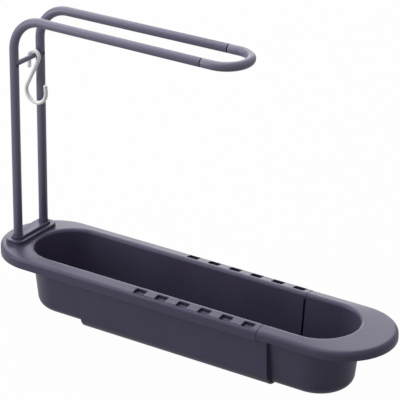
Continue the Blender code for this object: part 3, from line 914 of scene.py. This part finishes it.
@dataclass
class LeftBasket(BasketHalf):
    """The left half: round end with the hanger's socket, rims with click windows."""

    skirt_drop: float = 0.0105
    edge_radius: float = 0.0030
    window_length: float = 0.0104
    window_width: float = 0.0068
    window_corner: float = 0.0010
    window_corner_steps: int = 5
    window_from_edge: float = 0.0055
    window_count: int = 6
    socket_x: float = -0.1672
    socket_half_span: float = 0.0180
    socket_radius: float = 0.0058
    socket_wall: float = 0.0022
    socket_low: float = 0.04814
    socket_floor: float = 0.0016
    flange_height: float = 0.05664
    collar_out: float = 0.0092
    collar_corner: float = 0.0062
    collar_corner_steps: int = 14
    collar_top: float = 0.06024
    collar_edge: float = 0.0006
    collar_edge_segments: int = 4

    def collar_outline(self) -> list[Point2]:
        """Return the collar's outline, a rectangle with round corners.

        Returns:
            The outline, anticlockwise.
        """
        across = self.collar_out - self.collar_corner
        along = self.socket_half_span + across
        outline = []
        for turn, (x, y) in enumerate(((1, 1), (-1, 1), (-1, -1), (1, -1))):
            centre = (x * across, y * along)
            start = turn * QUARTER_TURN
            end = start + QUARTER_TURN
            outline += arc(centre, self.collar_corner, start, end, self.collar_corner_steps)
        return [(self.socket_x + x, y) for x, y in outline]

    def build(self) -> None:
        """Build the left half and hand it over."""
        rim = self.rim
        name = "left_basket_shell"
        mesh = rim.shell(name, -1, rim.seam, self.skirt_drop, self.edge_radius, rim.left_floor)
        item = put(name, mesh)
        outer = capsule(
            self.socket_x, self.socket_half_span, self.socket_radius + self.socket_wall,
        )
        inner = capsule(self.socket_x, self.socket_half_span, self.socket_radius)
        body = self.tool(
            "socket_body", outer, self.socket_low - self.socket_floor, self.flange_height,
        )
        collar = self.tool(
            "collar", self.collar_outline(), self.flange_height - rim.wall / 2, self.collar_top,
        )
        round_edges(collar, self.collar_edge, self.collar_edge_segments)
        combine(body, collar, Change.JOIN)
        combine(item, body, Change.JOIN)
        well = self.tool("well", inner, self.socket_low, self.collar_top + OVERRUN)
        combine(item, well, Change.CUT)
        wall_end = rim.seam - rim.wall_setback
        past, across = rim.seam + OVERRUN, rim.half_opening + rim.wall + rim.slide_clearance
        outline = [(wall_end, -across), (past, -across), (past, across), (wall_end, across)]
        setback = self.tool("setback", outline, -OVERRUN, rim.wall_top - rim.wall)
        combine(item, setback, Change.CUT)
        grow(item, self.openings, {
            "Length": self.window_length, "Width": self.window_width, "Corner": self.window_corner,
            "Corner Steps": self.window_corner_steps, "Count": self.window_count,
            "Pitch": rim.window_pitch, "First": rim.first_window,
            "Out": rim.half_rim - self.window_from_edge, "Both Sides": True,
            "Low": rim.crest_height - rim.rim_fall - rim.wall - OVERRUN,
            "High": rim.crest_height + OVERRUN, "Finish": self.finish,
        })
        grow(item, self.openings, rim.slot_row(-rim.opening_centre, wall_end, self.finish))
        round_edges(item, rim.edge)
        self.complete(item, Body.LEFT, "left_basket")


@dataclass
class RightBasket(BasketHalf):
    """The right half: round end, step, and the sleeve that the left half slides in."""

    skirt_drop: float = 0.0089
    edge_radius: float = 0.0042
    sleeve_start: float = -0.0903
    sleeve_past_seam: float = 0.0044
    step_inset: float = 0.0006
    rail_gap: float = 0.0006
    tongue_length: float = 0.0200
    tongue_width: float = 0.0044
    tongue_tip: float = -0.0408
    slit: float = 0.0010

    @property
    def rail_edge(self) -> float:
        """How far out the rails reach under the left half's rims."""
        return self.rim.half_rim - self.rim.wall - self.rail_gap

    @property
    def sleeve_end(self) -> float:
        """Where the sleeve ends under the right half's wall."""
        return self.rim.seam + self.sleeve_past_seam

    def channel(self, offset: float, draft: float, edge: float, floor: float) -> list[Point2]:
        """Return a section from one rail's edge round the floor to the other's.

        Args:
            offset: how far the surface lies outside the basket's inner one.
            draft: the walls' draft.
            edge: how far out the section reaches.
            floor: the floor's height.

        Returns:
            Points in Y and Z.
        """
        rim = self.rim
        crest_out = rim.half_opening + rim.crest_radius * (1 + math.sin(rim.slope))
        crest_height = rim.wall_top + rim.crest_radius * math.cos(rim.slope)
        line = crest_height - offset / math.cos(rim.slope)
        edge_height = line - math.tan(rim.slope) * (edge - crest_out)
        wall_out = rim.half_width_at(line, offset, draft)
        wall_height = line + math.tan(rim.slope) * (crest_out - wall_out)
        half = [(edge, edge_height), (rim.half_width_at(wall_height, offset, draft), wall_height)]
        half += rim.floor_arc(offset, draft, floor)
        return half + [(-out, height) for out, height in reversed(half)]

    def tongue_slits(self) -> Object:
        """Return the cutter for the slit round the spring tongue in each rail.

        Returns:
            The cutter.
        """
        half, tip = self.tongue_width / 2, self.tongue_tip
        root, far_tip, far_half = tip - self.tongue_length, tip + self.slit, half + self.slit
        outline = [
            (root, far_half), (root, half), (tip, half), (tip, -half),
            (root, -half), (root, -far_half), (far_tip, -far_half), (far_tip, far_half),
        ]
        rim = self.rim
        outside = 2 * rim.wall + rim.slide_clearance
        inner = rim.half_width_at(rim.wall_top, outside, rim.sleeve_draft)
        middle = (inner + self.rail_edge) / 2
        bm = bmesh.new()
        for side in Side:
            moved = [(x, y + side.value * middle) for x, y in outline]
            mesh = prism("slit", moved, rim.wall_top - 3 * rim.wall, rim.crest_height)
            bm.from_mesh(mesh)
            bpy.data.meshes.remove(mesh)
        self.tools.append(put("tongue_slits", mesh_from(bm, "tongue_slits")))
        return self.tools[-1]

    def build(self) -> None:
        """Build the right half and hand it over."""
        rim = self.rim
        name = "right_basket_shell"
        start = rim.seam + rim.seam_gap
        mesh = rim.shell(name, 1, start, self.skirt_drop, self.edge_radius, rim.right_floor)
        item = put(name, mesh)
        nest = rim.wall + rim.slide_clearance
        edge = self.rail_edge
        section = self.channel(nest, rim.sleeve_draft, edge, rim.left_floor)
        section += reversed(self.channel(nest + rim.wall, rim.sleeve_draft, edge, rim.left_floor))
        sleeve = self.tool("sleeve", section, self.sleeve_start, self.sleeve_end, LAID_ALONG_X)
        round_edges(sleeve, rim.edge)
        edge -= self.step_inset
        section = self.channel(rim.wall / 2, rim.draft, edge, rim.right_floor)
        inside = nest + rim.wall / 2
        section += reversed(self.channel(inside, rim.sleeve_draft, edge, rim.left_floor))
        step = self.tool(
            "step", section, start + self.step_inset, self.sleeve_end - self.step_inset,
            LAID_ALONG_X,
        )
        combine(sleeve, step, Change.JOIN)
        round_edges(item, rim.edge)
        combine(item, sleeve, Change.JOIN)
        combine(item, self.tongue_slits(), Change.CUT)
        for low, high in (
            (self.sleeve_start, rim.seam - rim.wall_setback),
            (self.sleeve_end, rim.opening_centre),
        ):
            grow(item, self.openings, rim.slot_row(low, high, self.finish))
        self.complete(item, Body.RIGHT, "right_basket")


@dataclass
class Hanger:
    """The plug-in hanger: foot, two bent rails, end loop, plugs, cross bar and screws."""

    coat: Material
    plastic: Material
    steel: Material
    nylon: Material
    tube: NodeTree
    pair: NodeTree
    socket_x: float = -0.1672
    tube_radius: float = 0.0039
    tube_wall: float = 0.0008
    tube_sides: int = 48
    spacing: float = 0.0360
    loop_spacing: float = 0.0396
    loop_straight: float = 0.0096
    loop_steps: int = 64
    arm_length: float = 0.1863
    arm_height: float = 0.2601
    tube_seat: float = 0.05124
    bend_radius: float = 0.0290
    bend_steps: int = 22
    joint_gap: float = 0.0008
    foot_low: float = 0.04844
    foot_high: float = 0.06244
    foot_radius: float = 0.0055
    foot_edge: float = 0.0005
    foot_edge_segments: int = 4
    foot_seat: float = 0.05094
    fit_gap: float = 0.0003
    bar_radius: float = 0.0022
    bar_sides: int = 36
    bar_height: float = 0.2180
    bar_past_axis: float = 0.0018
    screw_hole_radius: float = 0.0017
    screw_head_radius: float = 0.00135
    screw_head: float = 0.0008
    screw_edge: float = 0.0004
    screw_edge_steps: int = 4
    screw_shank_radius: float = 0.0009
    screw_tip_margin: float = 0.0004
    screw_sides: int = 32
    drive_width: float = 0.0005
    drive_depth: float = 0.0004
    hole_sides: int = 40
    edge: float = 0.00025

    @property
    def toe_out(self) -> float:
        """The angle at which each arm leans outwards to meet the wider loop."""
        return math.asin((self.loop_spacing - self.spacing) / 2 / self.arm_length)

    @property
    def loop_start(self) -> float:
        """Where the end loop begins along X."""
        return self.socket_x + self.arm_length * math.cos(self.toe_out) + self.joint_gap

    def sweep(self, item: Object, bend_radius: float, bend_steps: int) -> None:
        """Sweep a tube along an object's line, with a wall and round rims.

        Args:
            item: the object that holds the line.
            bend_radius: the centre line's radius at a corner.
            bend_steps: steps round each bend.
        """
        grow(item, self.tube, {
            "Outer Radius": self.tube_radius, "Bend Radius": bend_radius, "Bend Steps": bend_steps,
            "Sides": self.tube_sides, "Closed Ends": False, "Finish": self.coat,
        })
        wall = item.modifiers.new("Wall", "SOLIDIFY")
        wall.thickness = self.tube_wall
        wall.offset = -1.0
        wall.use_even_offset = True

    def bore(
        self, item: Object, name: str, radius: float, low: float, high: float,
        turn: Point3, spot: Point3,
    ) -> Object:
        """Cut a round hole in a piece, along an axis at a place.

        Args:
            item: the piece.
            name: the cutter's name.
            radius: its radius.
            low: its start along its own axis.
            high: its end.
            turn: the turn from Z to its axis.
            spot: its place.

        Returns:
            The cutter.
        """
        circle = arc((0.0, 0.0), radius, 0.0, 2 * math.pi, self.hole_sides)[:-1]
        mesh = prism(name, circle, low, high)
        mesh.transform(Matrix.LocRotScale(Vector(spot), Euler(turn), None))
        cutter = put(name, mesh)
        combine(item, cutter, Change.CUT)
        return cutter

    def build_foot(self) -> None:
        """Build the block with round ends that holds both rails."""
        name = "hanger_foot_block"
        outline = capsule(self.socket_x, self.spacing / 2, self.foot_radius)
        item = put(name, prism(name, outline, self.foot_low, self.foot_high))
        cutters = [self.bore(
            item, f"{side.label}_bore", self.tube_radius + self.fit_gap, self.foot_seat,
            self.foot_high + OVERRUN, (0.0, 0.0, 0.0),
            (self.socket_x, side.value * self.spacing / 2, 0.0),
        ) for side in Side]
        round_edges(item, self.foot_edge, self.foot_edge_segments)
        dress(item, self.plastic, cutters)
        hand_over(item, Body.HANGER, "hanger_foot")

    def build_rail(self, side: Side) -> None:
        """Build one bent tube with its holes for the bar and its screw.

        Args:
            side: the side that the tube stands on.
        """
        name = f"{side.label}_rail"
        corners = [
            Vector((0.0, 0.0, self.tube_seat)), Vector((0.0, 0.0, self.arm_height)),
            Vector((self.arm_length, 0.0, self.arm_height)),
        ]
        across = side.value * self.spacing / 2
        place = Matrix.Translation((self.socket_x, across, 0.0))
        place = place @ Matrix.Rotation(side.value * self.toe_out, 4, "Z")
        item = wire(name + "_tube", [tuple(place @ corner) for corner in corners])
        self.sweep(item, self.bend_radius, self.bend_steps)
        spot = (self.socket_x, across, self.bar_height)
        reach = self.tube_radius + OVERRUN
        bar_hole = self.bore(
            item, name + "_bar_hole", self.bar_radius + self.fit_gap,
            -(self.bar_past_axis + self.fit_gap), reach,
            (side.value * QUARTER_TURN, 0.0, 0.0), spot,
        )
        screw_hole = self.bore(
            item, name + "_screw_hole", self.screw_hole_radius, 0.0, reach,
            (0.0, QUARTER_TURN, 0.0), spot,
        )
        round_edges(item, self.edge)
        dress(item, self.coat, [bar_hole, screw_hole])
        hand_over(item, Body.HANGER, name)

    def finish_plug(self, side: Side) -> None:
        """Give a joint plug of the frame a new material, and leave its mesh alone.

        Args:
            side: the side of the plug's tube.
        """
        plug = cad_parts[f"{side.label}_joint_plug"]
        for place in plug.material_slots:
            place.material = self.nylon
        LOG.info("%s: kept from the frame, with %s", plug.name, self.nylon.name)

    def build_loop(self) -> None:
        """Build the end loop, round from one arm to the other."""
        out = self.loop_spacing / 2
        centre = (self.loop_start + self.loop_straight, 0.0)
        line = [(self.loop_start, -out)]
        line += arc(centre, out, -QUARTER_TURN, QUARTER_TURN, self.loop_steps)
        line.append((self.loop_start, out))
        item = wire("end_loop_tube", [(x, y, self.arm_height) for x, y in line])
        self.sweep(item, 0.0, 1)
        round_edges(item, self.edge)
        dress(item, self.coat)
        hand_over(item, Body.HANGER, "end_loop")

    def build_bar(self) -> None:
        """Build the cross bar with the cross holes for its screws."""
        reach = self.spacing / 2 + self.bar_past_axis
        ends = [(self.socket_x, y, self.bar_height) for y in (-reach, reach)]
        item = wire("cross_bar_rod", ends)
        grow(item, self.tube, {
            "Outer Radius": self.bar_radius, "Bend Radius": 0.0, "Bend Steps": 1,
            "Sides": self.bar_sides, "Closed Ends": True, "Finish": self.coat,
        })
        cutters = [self.bore(
            item, f"{side.label}_shank_hole", self.screw_shank_radius + self.fit_gap,
            -self.bar_radius - OVERRUN, self.bar_radius + OVERRUN, (0.0, QUARTER_TURN, 0.0),
            (self.socket_x, side.value * self.spacing / 2, self.bar_height),
        ) for side in Side]
        round_edges(item, self.edge)
        dress(item, self.coat, cutters)
        hand_over(item, Body.HANGER, "cross_bar")

    def build_screws(self) -> None:
        """Build one turned screw and set it at both ends of the bar."""
        base = self.bar_radius + self.fit_gap
        top = base + self.screw_head
        tip = -(self.bar_radius - self.screw_tip_margin)
        head, shank, rounding = self.screw_head_radius, self.screw_shank_radius, self.screw_edge
        corner = (head - rounding, top - rounding)
        profile = [(0.0, top)] + arc(corner, rounding, QUARTER_TURN, 0.0, self.screw_edge_steps)
        profile += [(head, base), (shank, base), (shank, tip + shank), (0.0, tip)]
        bm = bmesh.new()
        corners = [bm.verts.new((out, 0.0, along)) for out, along in profile]
        edges = [bm.edges.new(pair) for pair in zip(corners, corners[1:])]
        bmesh.ops.spin(
            bm, geom=corners + edges, cent=(0, 0, 0), axis=(0, 0, 1), angle=2 * math.pi,
            steps=self.screw_sides,
        )
        item = put("bar_screws", mesh_from(bm, "bar_screws"))
        x, y = head + OVERRUN, self.drive_width / 2
        outline = [(-x, -y), (x, -y), (x, y), (-x, y)]
        low, high = top - self.drive_depth, top + OVERRUN
        slot = put("drive_slot", prism("drive_slot", outline, low, high))
        combine(item, slot, Change.CUT)
        grow(item, self.pair, {
            "Place": (self.socket_x, 0.0, self.bar_height), "Spacing": self.spacing,
            "Finish": self.steel,
        })
        dress(item, self.steel, [slot])
        hand_over(item, Body.HANGER, "near_bar_screw", "far_bar_screw")

    def build(self) -> None:
        """Build the whole hanger."""
        self.build_foot()
        for side in Side:
            self.build_rail(side)
            self.finish_plug(side)
        self.build_loop()
        self.build_bar()
        self.build_screws()


@dataclass
class Hook:
    """The white S-hook: a tight top over the bar and a wide open lower loop."""

    finish: Material
    tube: NodeTree
    bar: Point3 = (-0.1672, 0.0093, 0.2180)
    bar_radius: float = 0.0022
    gap: float = 0.0003
    wire_radius: float = 0.0017
    wire_sides: int = 32
    tip_roundness: float = 0.75
    tip_segments: int = 6
    crease: float = 40.0
    top_radius: float = 0.0051
    low_radius: float = 0.0103
    centre_drop: float = 0.0311
    centre_shift: float = 0.0022
    leg: float = 0.0113
    tip_angle: float = math.radians(5.0)
    tip_length: float = 0.0070
    arc_steps: int = 40

    def line(self) -> list[Point2]:
        """Return the hook's centre line in X and Z about the bar, hanging at rest.

        Returns:
            The points, with the line's weight straight below the bar.
        """
        top = Vector((0.0, self.bar_radius + self.gap + self.wire_radius - self.top_radius))
        low = top + Vector((self.centre_shift, -self.centre_drop))
        between = low - top
        heading = math.atan2(between.y, between.x)
        leave = heading + math.acos((self.top_radius + self.low_radius) / between.length)
        points = [(top.x - self.top_radius, top.y - self.leg)]
        points += arc((top.x, top.y), self.top_radius, math.pi, leave, self.arc_steps)
        points += arc(
            (low.x, low.y), self.low_radius, leave - math.pi, self.tip_angle, self.arc_steps,
        )
        tip_x, tip_z = points[-1]
        points.append((
            tip_x - self.tip_length * math.sin(self.tip_angle),
            tip_z + self.tip_length * math.cos(self.tip_angle),
        ))
        total = 0.0
        moment = Vector((0.0, 0.0))
        for start, end in zip(points, points[1:]):
            length = (Vector(end) - Vector(start)).length
            total += length
            moment += (Vector(start) + Vector(end)) / 2 * length
        turn = -math.atan2(moment.x / total, -moment.y / total)
        cosine, sine = math.cos(turn), math.sin(turn)
        return [(x * cosine - z * sine, x * sine + z * cosine) for x, z in points]

    def build(self) -> None:
        """Build the hook and hand it over."""
        bar_x, bar_y, bar_z = self.bar
        item = wire("s_hook_wire", [(bar_x + x, bar_y, bar_z + z) for x, z in self.line()])
        grow(item, self.tube, {
            "Outer Radius": self.wire_radius, "Bend Radius": 0.0, "Bend Steps": 1,
            "Sides": self.wire_sides, "Closed Ends": True, "Finish": self.finish,
        })
        round_edges(item, self.wire_radius * self.tip_roundness, self.tip_segments)
        dress(item, self.finish, crease=self.crease)
        hand_over(item, Body.HOOK, "s_hook")


@dataclass(frozen=True)
class Softbox:
    """A soft square lamp that faces a point, with its size in metres and power in watts."""

    name: str
    spot: Point3
    aim: Point3
    size: float
    power: float

    def build(self) -> None:
        """Add the lamp to the scene."""
        lamp = bpy.data.lights.new(self.name, "AREA")
        lamp.shape = "SQUARE"
        lamp.size = self.size
        lamp.energy = self.power
        item = bpy.data.objects.new(self.name, lamp)
        item.location = self.spot
        item.rotation_mode = "QUATERNION"
        item.rotation_quaternion = (Vector(self.aim) - Vector(self.spot)).to_track_quat("-Z", "Y")
        bpy.context.scene.collection.objects.link(item)


@dataclass
class Studio:
    """Plain pale floor, white surroundings, soft lamps, and the photo's camera."""

    ambient: float = 0.34
    floor_colour: str = "ACACAC"
    floor_glow: float = 0.98
    floor_mirrored: float = 0.5
    floor_reach: float = 6.0
    floor_drop: float = 0.0004
    softboxes: tuple[Softbox, ...] = (
        Softbox("overhead softbox", (-0.55, 0.0, 1.4), (-0.05, 0.0, 0.1), 1.7, 20.5),
        Softbox("left softbox", (-0.95, -0.8, 0.45), (-0.15, 0.0, 0.1), 0.7, 5.6),
        Softbox("back softbox", (-1.05, 1.65, 0.9), (-0.05, 0.0, 0.1), 1.7, 17.0),
    )
    azimuth: float = math.radians(32.897)
    elevation: float = math.radians(23.932)
    roll: float = math.radians(-0.688)
    distance: float = 1.850
    target: Point3 = (0.006606, 0.0, 0.1321)
    lens: float = 204.39
    sensor_width: float = 36.0
    clip: Point2 = (0.1, 30.0)

    def seen_rays(self, tree: NodeTree, camera: float, mirror: float) -> Node:
        """Return how white the surroundings are to each kind of ray.

        Args:
            tree: the node tree.
            camera: the share for the rays that come from the camera.
            mirror: the share for the rays that a surface mirrors or lets through.

        Returns:
            The node that gives the share, which is 0 for all other rays.
        """
        rays = add_node(tree, "ShaderNodeLightPath").outputs
        turned = add_node(tree, "ShaderNodeMath", {
            0: rays["Is Glossy Ray"], 1: rays["Is Transmission Ray"],
        }, operation="MAXIMUM")
        weaker = add_node(tree, "ShaderNodeMath", {0: turned, 1: mirror}, operation="MULTIPLY")
        straight = add_node(tree, "ShaderNodeMath", {
            0: rays["Is Camera Ray"], 1: camera,
        }, operation="MULTIPLY")
        return add_node(tree, "ShaderNodeMath", {0: straight, 1: weaker}, operation="MAXIMUM")

    def build_world(self) -> None:
        """Make the world white where it is seen, and plain soft light elsewhere."""
        world = bpy.data.worlds.new("white surroundings")
        bpy.context.scene.world = world
        world.use_nodes = True
        tree = world.node_tree
        tree.nodes.clear()
        light = add_node(tree, "ShaderNodeBackground", {"Color": WHITE, "Strength": self.ambient})
        shown = add_node(tree, "ShaderNodeBackground", {"Color": WHITE, "Strength": 1.0})
        both = add_node(tree, "ShaderNodeMixShader", {
            0: self.seen_rays(tree, 1.0, 1.0), 1: light, 2: shown,
        })
        add_node(tree, "ShaderNodeOutputWorld", {"Surface": both})

    def build_floor(self) -> None:
        """Make the pale floor, which is white to the camera but for a faint shadow."""
        material, tree = new_material("pale floor")
        matt = add_node(tree, "ShaderNodeBsdfDiffuse", {"Color": linear(self.floor_colour)})
        white = add_node(tree, "ShaderNodeEmission", {"Color": WHITE, "Strength": 1.0})
        both = add_node(tree, "ShaderNodeMixShader", {
            0: self.seen_rays(tree, self.floor_glow, self.floor_mirrored), 1: matt, 2: white,
        })
        add_node(tree, "ShaderNodeOutputMaterial", {"Surface": both})
        bm = bmesh.new()
        bmesh.ops.create_grid(bm, x_segments=1, y_segments=1, size=self.floor_reach)
        floor = put("floor", mesh_from(bm, "floor"))
        floor.location.z = -self.floor_drop
        floor.data.materials.append(material)

    def build_camera(self) -> None:
        """Set the camera at the photo's angle."""
        a, e = self.azimuth, self.elevation
        back = Vector((math.sin(a) * math.cos(e), -math.cos(a) * math.cos(e), math.sin(e)))
        right = Vector((math.cos(a), math.sin(a), 0.0))
        down = (-back).cross(right)
        across = math.cos(self.roll) * right + math.sin(self.roll) * down
        up = math.sin(self.roll) * right - math.cos(self.roll) * down
        camera = bpy.data.cameras.new("camera")
        camera.lens = self.lens
        camera.sensor_width = self.sensor_width
        camera.clip_start, camera.clip_end = self.clip
        item = bpy.data.objects.new("camera", camera)
        bpy.context.scene.collection.objects.link(item)
        pose = Matrix((across, up, back)).transposed().to_4x4()
        pose.translation = Vector(self.target) + back * self.distance
        item.matrix_world = pose
        bpy.context.scene.camera = item

    def build(self) -> None:
        """Set up the studio."""
        bpy.context.scene.view_settings.view_transform = "Standard"
        self.build_world()
        self.build_floor()
        for softbox in self.softboxes:
            softbox.build()
        self.build_camera()


def main() -> None:
    """Build the rack's pieces, the light and the camera."""
    logging.basicConfig(level=logging.INFO, format="%(name)s: %(message)s")
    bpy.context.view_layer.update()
    moulded = MouldedPolypropylene().make()
    coat = PowderCoat().make()
    white = SatinPlastic("moulded acetal white", "ECECED").make()
    nylon = SatinPlastic("moulded nylon black", "17161A", gloss=(0.47, 0.53)).make()
    steel = TurnedSteel().make()
    rim = RimSizes()
    openings = perforation_tree()
    tube = swept_tube_tree()
    LeftBasket(rim, moulded, openings).build()
    RightBasket(rim, moulded, openings).build()
    Hanger(coat, moulded, steel, nylon, tube, pair_tree()).build()
    Hook(white, tube).build()
    Studio().build()


if __name__ == "__main__":
    main()
